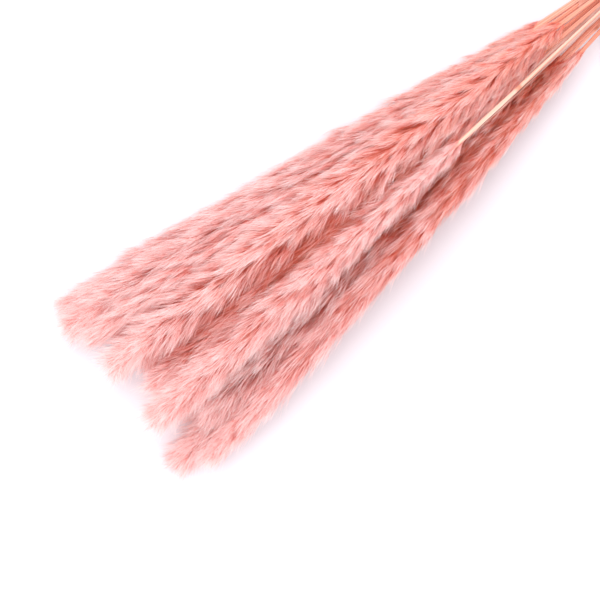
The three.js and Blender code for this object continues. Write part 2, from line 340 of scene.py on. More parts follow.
def add_tufts(tree, given):
    """Points round the axis, one for each tuft, which know their heading, size and tint."""
    curve = add(tree, "GeometryNodeMeshToCurve", {"Mesh": given["Geometry"]})
    index = add(tree, "GeometryNodeInputIndex")
    seeds = seeds_from(tree, given, 1, 6)
    jitter = add(tree, RANDOM, {"Min": 0.0, "Max": 1.0, "Seed": seeds[0]})
    place = add(tree, MATHS, {0: index, 1: jitter}, operation="ADD")
    share = add(tree, MATHS, {0: place, 1: given["Tufts"]}, operation="DIVIDE")
    wander = add(tree, RANDOM, {"Min": -0.3, "Max": 0.3, "Seed": seeds[1]})
    turn = add(tree, MATHS, {0: index, 1: GOLDEN_ANGLE, 2: wander}, operation="MULTIPLY_ADD")
    girth = add(tree, READ, {"Name": "girth"}, data_type="FLOAT_VECTOR")
    axis = {"Curves": curve, "Factor": share, "Value": girth}
    sampling = {"mode": "FACTOR", "data_type": "FLOAT_VECTOR"}
    axis = add(tree, "GeometryNodeSampleCurve", axis, **sampling)
    girth = add(tree, SPLIT, {0: axis.outputs["Value"]})
    tangent = axis.outputs["Tangent"]
    side = add(tree, VECTOR, {0: tangent, 1: UP}, operation="CROSS_PRODUCT")
    side = add(tree, VECTOR, {0: side}, operation="NORMALIZE")
    up = add(tree, VECTOR, {0: side, 1: tangent}, operation="CROSS_PRODUCT")
    cosine = add(tree, MATHS, {0: turn}, operation="COSINE")
    sine = add(tree, MATHS, {0: turn}, operation="SINE")
    sideways = add(tree, VECTOR, {0: side, "Scale": cosine}, operation="SCALE")
    upwards = add(tree, VECTOR, {0: up, "Scale": sine}, operation="SCALE")
    out = add(tree, VECTOR, {0: sideways, 1: upwards}, operation="ADD")

    # The root sits part of the way out, on an ellipse as wide and high as the plume is there.
    wide = add(tree, VECTOR, {0: sideways, "Scale": girth.outputs["X"]}, operation="SCALE")
    high = add(tree, VECTOR, {0: upwards, "Scale": girth.outputs["Y"]}, operation="SCALE")
    reach = add(tree, VECTOR, {0: wide, 1: high}, operation="ADD")
    depth = add(tree, RANDOM, {"Min": 0.25, "Max": 1.0, "Seed": seeds[2]})
    depth = add(tree, MATHS, {0: depth, 1: given["Fill"]}, operation="MULTIPLY")
    reach = add(tree, VECTOR, {0: reach, "Scale": depth}, operation="SCALE")
    root = add(tree, VECTOR, {0: axis.outputs["Position"], 1: reach}, operation="ADD")

    # A tuft opens from the axis by an angle that grows towards the blunt, ruffled tip, and less
    # upwards and downwards, because the plume lies pressed flat by its own weight.
    flat = add(tree, COMBINE, {0: 1.0, 1: 1.0, 2: given["Flatness"]})
    ruffle = add(tree, MATHS, {0: share, 1: RUFFLED_FROM}, operation="POWER")
    ruffle = add(tree, MATHS, {0: ruffle, 1: RUFFLE, 2: 1.0}, operation="MULTIPLY_ADD")
    opening = add(tree, RANDOM, {"Min": 0.7, "Max": 1.3, "Seed": seeds[3]})
    opening = add(tree, MATHS, {0: opening, 1: given["Opening"]}, operation="MULTIPLY")
    opening = add(tree, MATHS, {0: opening, 1: ruffle}, operation="MULTIPLY")
    ahead = add(tree, MATHS, {0: opening}, operation="COSINE")
    aside = add(tree, MATHS, {0: opening}, operation="SINE")
    ahead = add(tree, VECTOR, {0: tangent, "Scale": ahead}, operation="SCALE")
    aside = add(tree, VECTOR, {0: out, "Scale": aside}, operation="SCALE")
    aside = add(tree, VECTOR, {0: aside, 1: flat}, operation="MULTIPLY")
    heading = add(tree, VECTOR, {0: ahead, 1: aside}, operation="ADD")

    size = add(tree, RANDOM, {"Min": 0.8, "Max": 1.15, "Seed": seeds[4]})
    size = add(tree, MATHS, {0: size, 1: girth.outputs["Z"]}, operation="MULTIPLY")
    tint = add(tree, RANDOM, {"Min": -0.2, "Max": 0.2, "Seed": seeds[5]})
    tint = add(tree, MATHS, {0: tint, 1: given["Base tint"]}, operation="ADD")
    rise = add(tree, MATHS, {0: given["Tip tint"], 1: given["Base tint"]}, operation="SUBTRACT")
    tint = add(tree, MATHS, {0: share, 1: rise, 2: tint}, operation="MULTIPLY_ADD")

    tufts = add(tree, "GeometryNodePoints", {"Count": given["Tufts"], "Position": root})
    for name, value in {"heading": heading, "out": out, "girth": axis.outputs["Value"]}.items():
        facts = {"Geometry": tufts, "Name": name, "Value": value}
        tufts = add(tree, STORE, facts, data_type="FLOAT_VECTOR")
    for name, value in {"size": size, "tint": tint, "share": share}.items():
        tufts = add(tree, STORE, {"Geometry": tufts, "Name": name, "Value": value})
    return tufts


print("each tuft is turned on by", round(math.degrees(GOLDEN_ANGLE), 1), "degrees")

# %% Hairs of a tuft
STARTS_WITHIN = 0.6
LOOSE_AT_BASE = 0.25
LOOSER_AT_TIP = 0.9
TURNED_ANYHOW = 0.7


def add_hairs(tree, given, tufts):
    """The ribbons of every tuft, each with its own place, direction, length and bend."""
    seeds = seeds_from(tree, given, 7, 7)
    flat = add(tree, COMBINE, {0: 1.0, 1: 1.0, 2: given["Flatness"]})
    copies = {"Geometry": tufts, "Amount": given["Hairs"]}
    hairs = add(tree, "GeometryNodeDuplicateElements", copies, domain="POINT")
    heading = add(tree, READ, {"Name": "heading"}, data_type="FLOAT_VECTOR")
    out = add(tree, READ, {"Name": "out"}, data_type="FLOAT_VECTOR")
    size, share = add(tree, READ, {"Name": "size"}), add(tree, READ, {"Name": "share"})
    full = {"Min": (-1.0,) * 3, "Max": (1.0,) * 3}
    length = add(tree, MATHS, {0: given["Hair length"], 1: size}, operation="MULTIPLY")

    spray = add(tree, RANDOM, full | {"Seed": seeds[0]}, data_type="FLOAT_VECTOR")
    spray = add(tree, VECTOR, {0: spray, "Scale": given["Spread"]}, operation="SCALE")
    spray = add(tree, VECTOR, {0: spray, 1: flat}, operation="MULTIPLY")
    own_heading = add(tree, VECTOR, {0: heading, 1: spray}, operation="ADD")
    own_heading = add(tree, VECTOR, {0: own_heading}, operation="NORMALIZE")

    # Where the hair starts: some way along its tuft, and off the tuft's middle line.
    start = add(tree, RANDOM, {"Min": 0.0, "Max": STARTS_WITHIN, "Seed": seeds[1]})
    start = add(tree, MATHS, {0: start, 1: length}, operation="MULTIPLY")
    shift = add(tree, VECTOR, {0: heading, "Scale": start}, operation="SCALE")
    loose = {0: share, 1: LOOSER_AT_TIP, 2: LOOSE_AT_BASE}
    loose = add(tree, MATHS, loose, operation="MULTIPLY_ADD")
    loose = add(tree, MATHS, {0: loose, 1: given["Scatter"]}, operation="MULTIPLY")
    off = add(tree, RANDOM, full | {"Seed": seeds[2]}, data_type="FLOAT_VECTOR")
    off = add(tree, VECTOR, {0: off, "Scale": loose}, operation="SCALE")
    off = add(tree, VECTOR, {0: off, 1: flat}, operation="MULTIPLY")
    shift = add(tree, VECTOR, {0: shift, 1: off}, operation="ADD")
    hairs = add(tree, PLACE, {"Geometry": hairs, "Offset": shift})

    inward = add(tree, RANDOM, full | {"Seed": seeds[3]}, data_type="FLOAT_VECTOR")
    inward = add(tree, VECTOR, {0: inward, "Scale": TURNED_ANYHOW}, operation="SCALE")
    inward = add(tree, VECTOR, {0: inward, 1: out}, operation="SUBTRACT")
    axes = {"primary_axis": "Y", "secondary_axis": "Z"}
    turned = add(tree, "FunctionNodeAxesToRotation", {0: own_heading, 1: inward}, **axes)
    own_length = add(tree, RANDOM, {"Min": 0.6, "Max": 1.0, "Seed": seeds[4]})
    own_length = add(tree, MATHS, {0: own_length, 1: length}, operation="MULTIPLY")
    own_bend = add(tree, RANDOM, {"Min": -0.3, "Max": 1.3, "Seed": seeds[5]})
    own_bend = add(tree, MATHS, {0: own_bend, 1: own_length}, operation="MULTIPLY")
    streak = add(tree, RANDOM, {"Min": -1.0, "Max": 1.0, "Seed": seeds[6]})
    tint = add(tree, READ, {"Name": "tint"})
    tint = add(tree, MATHS, {0: streak, 1: given["Streaks"], 2: tint}, operation="MULTIPLY_ADD")
    hairs = add(tree, STORE, {"Geometry": hairs, "Name": "tint", "Value": tint})
    scale = add(tree, COMBINE, {0: given["Hair width"], 1: own_length, 2: own_bend})
    copies = {"Points": hairs, "Instance": make_hair_ribbon(tree)}
    copies |= {"Rotation": turned, "Scale": scale}
    grown = add(tree, "GeometryNodeInstanceOnPoints", copies)
    return add(tree, "GeometryNodeRealizeInstances", {"Geometry": grown})


print("a hair starts up to", STARTS_WITHIN, "of its length along its tuft")

# %% Combing and colour
WISPS_PER_METRE = 110.0
FLOOR_GAP = 0.3 * MM
RAY_REACH = 100 * MM
LEAST_ALONG_IN_SHADE = 0.25
UV_WIDTH = 0.02


def comb_and_colour(tree, given, fur):
    """Hair ends drift together in wisps, stay above the table, and get their colour's UV place."""
    along = add(tree, READ, {"Name": "along"})
    position = add(tree, "GeometryNodeInputPosition")
    waves = {"Vector": position, "Scale": WISPS_PER_METRE, "Detail": 1.0}
    swirl = add(tree, "ShaderNodeTexNoise", waves).outputs["Color"]
    swirl = add(tree, VECTOR, {0: swirl, 1: (0.5, 0.5, 0.5)}, operation="SUBTRACT")
    drift = add(tree, MATHS, {0: along, 1: 1.5}, operation="POWER")
    drift = add(tree, MATHS, {0: drift, 1: given["Wisps"]}, operation="MULTIPLY")
    swirl = add(tree, VECTOR, {0: swirl, "Scale": drift}, operation="SCALE")
    fur = add(tree, PLACE, {"Geometry": fur, "Offset": swirl})
    place = add(tree, SPLIT, {0: position})
    above = add(tree, MATHS, {0: place.outputs["Z"], 1: FLOOR_GAP}, operation="MAXIMUM")
    above = add(tree, COMBINE, {0: place.outputs["X"], 1: place.outputs["Y"], 2: above})
    fur = add(tree, PLACE, {"Geometry": fur, "Position": above})

    # Painted shade: the colour is nearer to that of the root where a hair is still inside its plume,
    # and where it lies in a valley, deep below the surface that bridges the plumes, where shade
    # falls.
    axis = {0: given["Geometry"]}
    axis = add(tree, "GeometryNodeProximity", axis, target_element="EDGES").outputs["Position"]
    off = add(tree, VECTOR, {0: position, 1: axis}, operation="SUBTRACT")
    girth = add(tree, SPLIT, {0: add(tree, READ, {"Name": "girth"}, data_type="FLOAT_VECTOR")})
    girth = add(tree, COMBINE, {0: 1.0, 1: girth.outputs["X"], 2: girth.outputs["Y"]})
    off = add(tree, VECTOR, {0: off, 1: girth}, operation="DIVIDE")
    off = add(tree, VECTOR, {0: off}, operation="LENGTH")
    outer = {"Value": off, "From Min": given["Painted shade from"], "From Max": given["Painted shade to"]}
    outer = add(tree, "ShaderNodeMapRange", outer)
    pile = add(tree, "GeometryNodeObjectInfo", {"Object": given["Pile"]}).outputs["Geometry"]
    upwards = {"Target Geometry": pile, "Ray Direction": UP, "Ray Length": RAY_REACH}
    ray = add(tree, "GeometryNodeRaycast", upwards)
    cover = {0: ray.outputs["Hit Distance"], 1: ray.outputs["Is Hit"]}
    cover = add(tree, MATHS, cover, operation="MULTIPLY")
    near = {"Value": cover, "From Min": given["Valley shade to"], "From Max": given["Valley shade from"]}
    near = add(tree, "ShaderNodeMapRange", near)
    light = add(tree, MATHS, {0: near, 1: outer}, operation="MULTIPLY")
    # The painted shade moves the hair's UV place towards the root and towards the deep coral tint.
    kept = {0: light, 1: 1 - LEAST_ALONG_IN_SHADE, 2: LEAST_ALONG_IN_SHADE}
    kept = add(tree, MATHS, kept, operation="MULTIPLY_ADD")
    along = add(tree, MATHS, {0: along, 1: kept}, operation="MULTIPLY")
    dark = add(tree, MATHS, {0: light, 1: 1.0}, operation="SUBTRACT")
    tint = {0: dark, 1: given["Painted shade tint"], 2: add(tree, READ, {"Name": "tint"})}
    tint = add(tree, MATHS, tint, operation="MULTIPLY_ADD")
    tint = add(tree, "ShaderNodeClamp", {"Value": tint, "Min": 0.03, "Max": 0.97})
    edge = add(tree, READ, {"Name": "edge"})
    across = add(tree, MATHS, {0: edge, 1: UV_WIDTH, 2: tint}, operation="MULTIPLY_ADD")
    own = add(tree, COMBINE, {0: across, 1: along})
    facts = {"Geometry": fur, "Name": "OFBake", "Value": own}
    return add(tree, STORE, facts, data_type="FLOAT2", domain="CORNER")


print("hairs stay", round(FLOOR_GAP / MM, 1), "mm above the table")


# %% Plume tree
def make_plume_tree():
    """The defaults are the usual plume of this bundle."""
    tree, given = new_tree(
        "plume",
        {
            "Tufts": ("Int", 600),
            "Hairs": ("Int", 36),
            "Hair length": ("Float", 18 * MM),
            "Hair width": ("Float", 0.32 * MM),
            "Opening": ("Float", math.radians(24)),
            "Spread": ("Float", 0.17),
            "Scatter": ("Float", 3.6 * MM),
            "Wisps": ("Float", 3 * MM),
            "Fill": ("Float", 0.85),
            "Base tint": ("Float", 0.5),
            "Tip tint": ("Float", 1.8),
            "Painted shade tint": ("Float", 0.9),
            "Painted shade from": ("Float", 0.3),
            "Painted shade to": ("Float", 0.9),
            "Valley shade from": ("Float", 2 * MM),
            "Valley shade to": ("Float", 13 * MM),
            "Flatness": ("Float", 0.5),
            "Pile": ("Object", None),
            "Streaks": ("Float", 0.3),
            "Seed": ("Int", 1),
            "Material": ("Material", None),
        },
    )
    tufts = add_tufts(tree, given)
    fur = add_hairs(tree, given, tufts)
    finish_tree(tree, comb_and_colour(tree, given, fur), given["Material"])
    return tree


PLUME_TREE = make_plume_tree()
print("plume tree:", len(PLUME_TREE.nodes), "nodes")

# %% [markdown]
# ## Growing the plumes
# The plumes of one bundle differ. Some are combed flat and pale, some are open and still coral
# inside, and the ones that lay under others are pressed. Each gets its own opening, fill and tint.
# First comes a helper, the upper surface of the pile with its valleys bridged. How deep a hair lies
# below it says how much painted shade it gets, as the root's deeper colour. The helper goes away
# when all have grown.

# %% Plumes
TUFT_SPACING = 0.6 * MM
LAST_TUFT = 10 * MM
SMALLEST_TUFT = 0.7
PILE_STEP = 2 * MM
PILE_MARGIN = 30 * MM
PILE_FLUFF = 3 * MM
BRIDGE = 8
SMOOTH = {"Opening": math.radians(11), "Spread": 0.12, "Wisps": 1.5 * MM, "Scatter": 2 * MM}
PLUME_LOOKS = {
    "01": {"Opening": math.radians(18), "Scatter": 3 * MM},
    "06": {"Fill": 1.2, "Flatness": 0.8},
    "08": {"Fill": 1.6, "Flatness": 0.9},
    "09": {"Opening": math.radians(15), "Fill": 0.65},
    "10": {"Fill": 1.3, "Flatness": 0.8},
    "11": {"Base tint": 0.6, "Tip tint": 1.5},
    "12": SMOOTH | {"Base tint": 0.9, "Fill": 1.0},
    "13": {"Opening": math.radians(30), "Base tint": 0.4, "Tip tint": 1.4},
    "14": {"Base tint": 1.0, "Tip tint": 1.4},
}


def shifted(grid, by):
    """The grid moved along its rows by some columns, with its edges held."""
    columns = np.clip(np.arange(grid.shape[1]) + by, 0, grid.shape[1] - 1)
    return grid[:, columns]


def pile_surface():
    """A helper object: the upper surface of all plumes, with the valleys between them bridged."""
    start = min(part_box(f"plume_{label}")[0].x for label in STALKS)
    x = np.arange(start, cad_box[1][0], PILE_STEP)
    y = np.arange(cad_box[0][1] - PILE_MARGIN, cad_box[1][1] + PILE_MARGIN, PILE_STEP)
    top = np.zeros((len(x), len(y)))
    for label in STALKS:
        rows = sections_of(f"plume_{label}")
        middle, centre, wide, tall = [np.interp(x, rows[:, 0], column) for column in rows.T[1:]]
        bulge = 1 - ((y[None, :] - middle[:, None]) / wide[:, None]) ** 2
        bulge[(x < rows[0, 0]) | (x > rows[-1, 0])] = -1
        height = centre[:, None] + tall[:, None] * np.sqrt(np.maximum(bulge, 0))
        top = np.maximum(top, np.where(bulge > 0, height, 0))
    shifts = range(-BRIDGE, BRIDGE + 1)
    top = np.max([shifted(top, by) for by in shifts], axis=0)
    top = np.min([shifted(top, by) for by in shifts], axis=0) + PILE_FLUFF
    points = np.stack(np.broadcast_arrays(x[:, None], y[None, :], top), axis=-1).reshape(-1, 3)
    at = np.arange(len(points)).reshape(top.shape)
    faces = np.stack([at[:-1, :-1], at[1:, :-1], at[1:, 1:], at[:-1, 1:]], axis=-1).reshape(-1, 4)
    mesh = bpy.data.meshes.new("pile")
    mesh.from_pydata(points.tolist(), [], faces.tolist())
    return bpy.data.objects.new("pile", mesh)


def grow_plume(number, label):
    """Grows one plume along its axis, and keeps only the attribute that its colour needs."""
    path = paths[label]
    low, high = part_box(f"plume_{label}")
    inside = path[(path[:, 0] > low.x - PATH_STEP) & (path[:, 0] < high.x - LAST_TUFT)]
    full = inside[:, 3].max()
    size = SMALLEST_TUFT + (1 - SMALLEST_TUFT) * inside[:, 3] / full
    girth = np.column_stack([inside[:, 3], inside[:, 4], size])
    line = line_mesh(f"axis {label}", inside[:, :3], girth=girth)
    values = {
        "Tufts": int((high.x - low.x) / TUFT_SPACING),
        "Seed": 100 * number,
        "Pile": PILE,
        "Material": HAIR,
    }
    mesh = run_tree(PLUME_TREE, line, values | PLUME_LOOKS.get(label, {}))
    for spare in ("heading", "out", "girth", "size", "share", "tint", "along", "edge"):
        mesh.attributes.remove(mesh.attributes[spare])
    piece_from(f"plume_hairs_{label}", mesh, "plume", f"plume_{label}")
    return len(mesh.polygons)


# The pile is only a helper for the painted shade of the hair in the valleys.
PILE = pile_surface()
counts = [grow_plume(number, label) for number, label in enumerate(STALKS, start=1)]
bpy.data.objects.remove(PILE)
print("plumes:", len(counts), "faces in all:", sum(counts))

# %% [markdown]
# ## Material: dry reed
# The stems are reed cane: a hard, thin-walled grass stem with a waxy skin, dyed along with the
# plumes. The skin shows fine lengthwise streaks, cream to salmon, as the dye follows the fibres,
# and it is a little darker at the joints. The streaks are a noise stretched along the stem and
# measured on the stem itself, so they follow each stem wherever it points.

# %% Reed material
FINE_RELIEF = 0.1 * MM
STREAKS_AROUND = 2.4
STREAKS_ALONG = 22.0
OWN_PATTERN = 40.0


def make_reed():
    material, tree = new_material("dry reed")
    around = add(tree, "ShaderNodeAttribute", attribute_name="round").outputs["Vector"]
    length, tone, joint = [
        add(tree, "ShaderNodeAttribute", attribute_name=name).outputs["Fac"]
        for name in ("along", "tone", "joint")
    ]
    fibre = add(tree, VECTOR, {0: around, "Scale": STREAKS_AROUND}, operation="SCALE")
    drawn = add(tree, MATHS, {0: length, 1: STREAKS_ALONG}, operation="MULTIPLY")
    offset = add(tree, MATHS, {0: tone, 1: OWN_PATTERN, 2: drawn}, operation="MULTIPLY_ADD")
    offset = add(tree, COMBINE, {0: offset})
    fibre = add(tree, VECTOR, {0: fibre, 1: offset}, operation="ADD")
    waves = {"Vector": fibre, "Scale": 1.6, "Detail": 5.0, "Roughness": 0.6}
    streaks = add(tree, "ShaderNodeTexNoise", waves)
    shift = add(tree, MATHS, {0: tone, 1: 0.3, 2: -0.2}, operation="MULTIPLY_ADD")
    level = add(tree, MATHS, {0: streaks, 1: shift}, operation="ADD")
    stops = [(0.25, "#C7674F"), (0.8, "#FBDDD0"), (0.42, "#E79B85"), (0.58, "#F2B8A5")]
    skin = add(tree, "ShaderNodeValToRGB", {"Fac": level}, stops)
    parts = {"Factor": joint, "A": skin.outputs["Color"], "B": linear("#B96A50")}
    colour = add(tree, "ShaderNodeMix", parts, data_type="RGBA")
    relief = {"Height": streaks, "Strength": 0.25, "Distance": FINE_RELIEF}
    relief = add(tree, "ShaderNodeBump", relief)
    facts = {"Base Color": colour, "Roughness": 0.5, "Specular IOR Level": 0.3, "Normal": relief}
    body = add(tree, "ShaderNodeBsdfPrincipled", facts)
    add(tree, "ShaderNodeOutputMaterial", {"Surface": body})
    return material


REED = make_reed()
print("reed material:", len(REED.node_tree.nodes), "nodes")

# %% [markdown]
# ## The stem tree
# A circle with every second corner drawn in a little is swept along the stalk, which gives the fine
# lengthwise ribs of cane. The thickness follows the stalk, and swells at the joints, one each hand's
# breadth. The cut end is hollow: its cap is inset and pushed in. Inside the plume the same sweep
# goes on as the thin axis that carries the tufts, because on the plant it is one stem.

# %% Stem tree
FACES_BACK = -0.9


def make_stem_tree():
    tree, given = new_tree(
        "stem",
        {
            "Ring step": ("Float", 2.5 * MM),
            "Sides": ("Int", 20),
            "Rib depth": ("Float", 0.05),
            "Joint spacing": ("Float", 96 * MM),
            "First joint": ("Float", 30 * MM),
            "Joint length": ("Float", 3.5 * MM),
            "Joint swelling": ("Float", 0.14),
            "Hollow": ("Float", 0.62),
            "Hollow depth": ("Float", 6 * MM),
            "Material": ("Material", None),
        },
    )
    curve = add(tree, "GeometryNodeMeshToCurve", {"Mesh": given["Geometry"]})
    steps = {"Curve": curve, "Length": given["Ring step"]}
    curve = add(tree, "GeometryNodeResampleCurve", steps, mode="LENGTH")
    along = add(tree, "GeometryNodeSplineParameter").outputs["Length"]
    past = add(tree, MATHS, {0: along, 1: given["First joint"]}, operation="SUBTRACT")
    half = add(tree, MATHS, {0: given["Joint spacing"], 1: 0.5}, operation="MULTIPLY")
    past = add(tree, MATHS, {0: past, 1: half}, operation="PINGPONG")
    past = add(tree, MATHS, {0: past, 1: given["Joint length"]}, operation="DIVIDE")
    joint = add(tree, MATHS, {0: 1.0, 1: past}, operation="SUBTRACT")
    joint = add(tree, MATHS, {0: joint, 1: 0.0}, operation="MAXIMUM")
    for name, value in {"along": along, "joint": joint}.items():
        curve = add(tree, STORE, {"Geometry": curve, "Name": name, "Value": value})
    joint = add(tree, READ, {"Name": "joint"})
    swell = {0: joint, 1: given["Joint swelling"], 2: 1.0}
    swell = add(tree, MATHS, swell, operation="MULTIPLY_ADD")
    thick = add(tree, READ, {"Name": "thickness"})
    thick = add(tree, MATHS, {0: thick, 1: swell}, operation="MULTIPLY")

    circle = {"Resolution": given["Sides"], "Radius": 1.0}
    ring = add(tree, "GeometryNodeCurvePrimitiveCircle", circle)
    corner = add(tree, "GeometryNodeInputIndex")
    every_second = add(tree, MATHS, {0: corner, 1: 2.0}, operation="MODULO")
    depth = add(tree, MATHS, {0: every_second, 1: given["Rib depth"]}, operation="MULTIPLY")
    depth = add(tree, MATHS, {0: 1.0, 1: depth}, operation="SUBTRACT")
    place = add(tree, "GeometryNodeInputPosition")
    ribbed = add(tree, VECTOR, {0: place, "Scale": depth}, operation="SCALE")
    ring = add(tree, PLACE, {"Geometry": ring, "Position": ribbed})
    facts = {"Geometry": ring, "Name": "round", "Value": place}
    ring = add(tree, STORE, facts, data_type="FLOAT_VECTOR")
    sweep = {"Curve": curve, "Profile Curve": ring, "Scale": thick, "Fill Caps": True}
    cane = add(tree, "GeometryNodeCurveToMesh", sweep)
    cane = add(tree, "GeometryNodeSetShadeSmooth", {"Geometry": cane, "Shade Smooth": True})

    facing = add(tree, SPLIT, {0: add(tree, "GeometryNodeInputNormal")})
    facts = {"A": facing.outputs["X"], "B": FACES_BACK}
    is_cut = add(tree, "FunctionNodeCompare", facts, data_type="FLOAT", operation="LESS_THAN")
    facts = {"Geometry": cane, "Name": "cut", "Value": is_cut}
    cane = add(tree, STORE, facts, data_type="BOOLEAN", domain="FACE")
    is_cut = add(tree, READ, {"Name": "cut"}, data_type="BOOLEAN")
    facts = {"Mesh": cane, "Selection": is_cut, "Offset Scale": 0.0, "Individual": False}
    wall = add(tree, "GeometryNodeExtrudeMesh", facts, mode="FACES")
    inner = {"Geometry": wall, "Selection": wall.outputs["Top"], "Scale": given["Hollow"]}
    inner = add(tree, "GeometryNodeScaleElements", inner)
    inwards = add(tree, COMBINE, {0: given["Hollow depth"]})
    facts = {"Mesh": inner, "Selection": wall.outputs["Top"], "Individual": False}
    facts |= {"Offset": inwards, "Offset Scale": 1.0}
    hollow = add(tree, "GeometryNodeExtrudeMesh", facts, mode="FACES")
    finish_tree(tree, hollow, given["Material"])
    return tree


STEM_TREE = make_stem_tree()
print("stem tree:", len(STEM_TREE.nodes), "nodes")

# %% Stems
AXIS_SHORT_OF_TIP = 25 * MM
AXIS_TIP_RADIUS = 0.35 * MM
AXIS_TAPER = 0.6
STEM_RNG = np.random.default_rng(7)
TONES = {"14": 0.95}
WAX = 0.12 * MM


def grow_stem(label):
    """The bare stem, and on from it the thin axis inside the plume."""
    path = paths[label]
    stem = sections_of(f"stem_{label}")
    end = stem[-1, 0]
    last = path[-1, 0] - AXIS_SHORT_OF_TIP
    rows = path[path[:, 0] < last]
    inside = np.clip((rows[:, 0] - end) / (last - end), 0, 1)
    bare = np.interp(rows[:, 0], stem[:, 0], stem[:, 3]) + WAX
    thickness = bare + (AXIS_TIP_RADIUS - bare) * inside**AXIS_TAPER
    tone = np.full(len(rows), TONES.get(label, STEM_RNG.uniform(0, 0.8)))
    line = line_mesh(f"stalk {label}", rows[:, :3], thickness=thickness, tone=tone)
    values = {
        "First joint": STEM_RNG.uniform(12, 45) * MM,
        "Joint spacing": STEM_RNG.uniform(85, 105) * MM,
        "Material": REED,
    }
    mesh = run_tree(STEM_TREE, line, values)
    mesh.attributes.remove(mesh.attributes["cut"])
    piece_from(f"reed_stem_{label}", mesh, "stem", f"stem_{label}")
    return len(mesh.polygons)


counts = [grow_stem(label) for label in STALKS]
print("stems:", len(counts), "faces in all:", sum(counts))

# %% [markdown]
# ## Material: dry leaf
# What is left of the leaves are sheaths, thin as paper and stiff, with parallel veins along them.
# The dye takes less on the outermost one, which is a greyish mauve, paler on the veins, and more on
# those between the stems. Light passes through such a thin sheet, so a share of a Translucent
# shader is mixed in.

# %% Leaf material
VEINS_PER_METRE = (25.0, 2600.0, 0.0)


def make_leaf():
    material, tree = new_material("dry leaf sheath")
    vein = add(tree, "ShaderNodeAttribute", attribute_name="vein").outputs["Vector"]
    stretched = add(tree, VECTOR, {0: vein, 1: VEINS_PER_METRE}, operation="MULTIPLY")
    fine = {"Vector": stretched, "Scale": 1.0, "Detail": 3.0, "Roughness": 0.6}
    fibres = add(tree, "ShaderNodeTexNoise", fine)
    spots = {"Vector": vein, "Scale": 60.0, "Detail": 2.0}
    patches = add(tree, "ShaderNodeTexNoise", spots)
    level = add(tree, MATHS, {0: patches, 1: 0.5, 2: -0.25}, operation="MULTIPLY_ADD")
    level = add(tree, MATHS, {0: fibres, 1: level}, operation="ADD")
    stops = [(0.28, "#B5837A"), (0.75, "#F2DAD2"), (0.45, "#CFA298"), (0.58, "#DEB9B0")]
    faded = add(tree, "ShaderNodeValToRGB", {"Fac": level}, stops).outputs["Color"]
    stops = [(0.28, "#C97A66"), (0.75, "#F8CFC0"), (0.45, "#E29B87"), (0.58, "#EEB5A3")]
    dyed = add(tree, "ShaderNodeValToRGB", {"Fac": level}, stops).outputs["Color"]
    share = add(tree, SPLIT, {0: vein}).outputs["Z"]
    shares = {"Factor": share, "A": faded, "B": dyed}
    colour = add(tree, "ShaderNodeMix", shares, data_type="RGBA")
    relief = {"Height": fibres, "Strength": 0.4, "Distance": FINE_RELIEF}
    relief = add(tree, "ShaderNodeBump", relief)
    facts = {"Base Color": colour, "Roughness": 0.6, "Specular IOR Level": 0.35, "Normal": relief}
    body = add(tree, "ShaderNodeBsdfPrincipled", facts)
    glow = add(tree, "ShaderNodeBsdfTranslucent", {"Color": colour})
    both = add(tree, "ShaderNodeMixShader", {0: 0.25, 1: body, 2: glow})
    add(tree, "ShaderNodeOutputMaterial", {"Surface": both})
    return material


LEAF = make_leaf()
print("leaf material:", len(LEAF.node_tree.nodes), "nodes")

# %% [markdown]
# ## Leaf sheaths
# A sheath is a rolled sheet round its stem with a slit left open. The frame's solid gives, at each
# place along the stem, the middle direction of the roll and how far round it goes. The sheet is
# built as two skins a fifth of a millimetre apart, closed along their edges, with a fine pleat for
# each vein, slit edges that lift off the stem, and a ragged torn end.

# %% Sheaths
LEAF_STEP = 2 * MM
LEAF_WALL = 0.2 * MM
LEAF_COLUMNS = 25
LEAF_GAP = 0.05 * MM
PLEAT = 0.05 * MM
PLEATS = 7
TWIST = 0.12
TWIST_KNOTS = 9
LIFT = {"14": 1.6 * MM, "09": 1.8 * MM}
USUAL_LIFT = 0.6 * MM
DYED = {"14": 0.1}
TORN_LENGTH = 16 * MM
TORN_DEPTH = 9 * MM
NOTCHES = 12


def rolled_rows(label):
    """Rows of x, stem y, stem z, middle angle, half of the wrapped angle and inner radius."""
    stem = sections_of(f"stem_{label}")
    rows = []
    for x, ring in rings_of(f"leaf_sheath_{label}"):
        y, z = np.interp(x, stem[:, 0], stem[:, 1]), np.interp(x, stem[:, 0], stem[:, 2])
        across, up = ring[:, 1] - y, ring[:, 2] - z
        middle = math.atan2(up.mean(), across.mean())
        angles = (np.arctan2(up, across) - middle + math.pi) % (2 * math.pi) - math.pi
        rows.append([x, y, z, middle, np.abs(angles).max(), np.hypot(across, up).min()])
    rows = np.array(rows)
    rows[:, 3] = np.unwrap(rows[:, 3])
    return at_step(rows, LEAF_STEP)


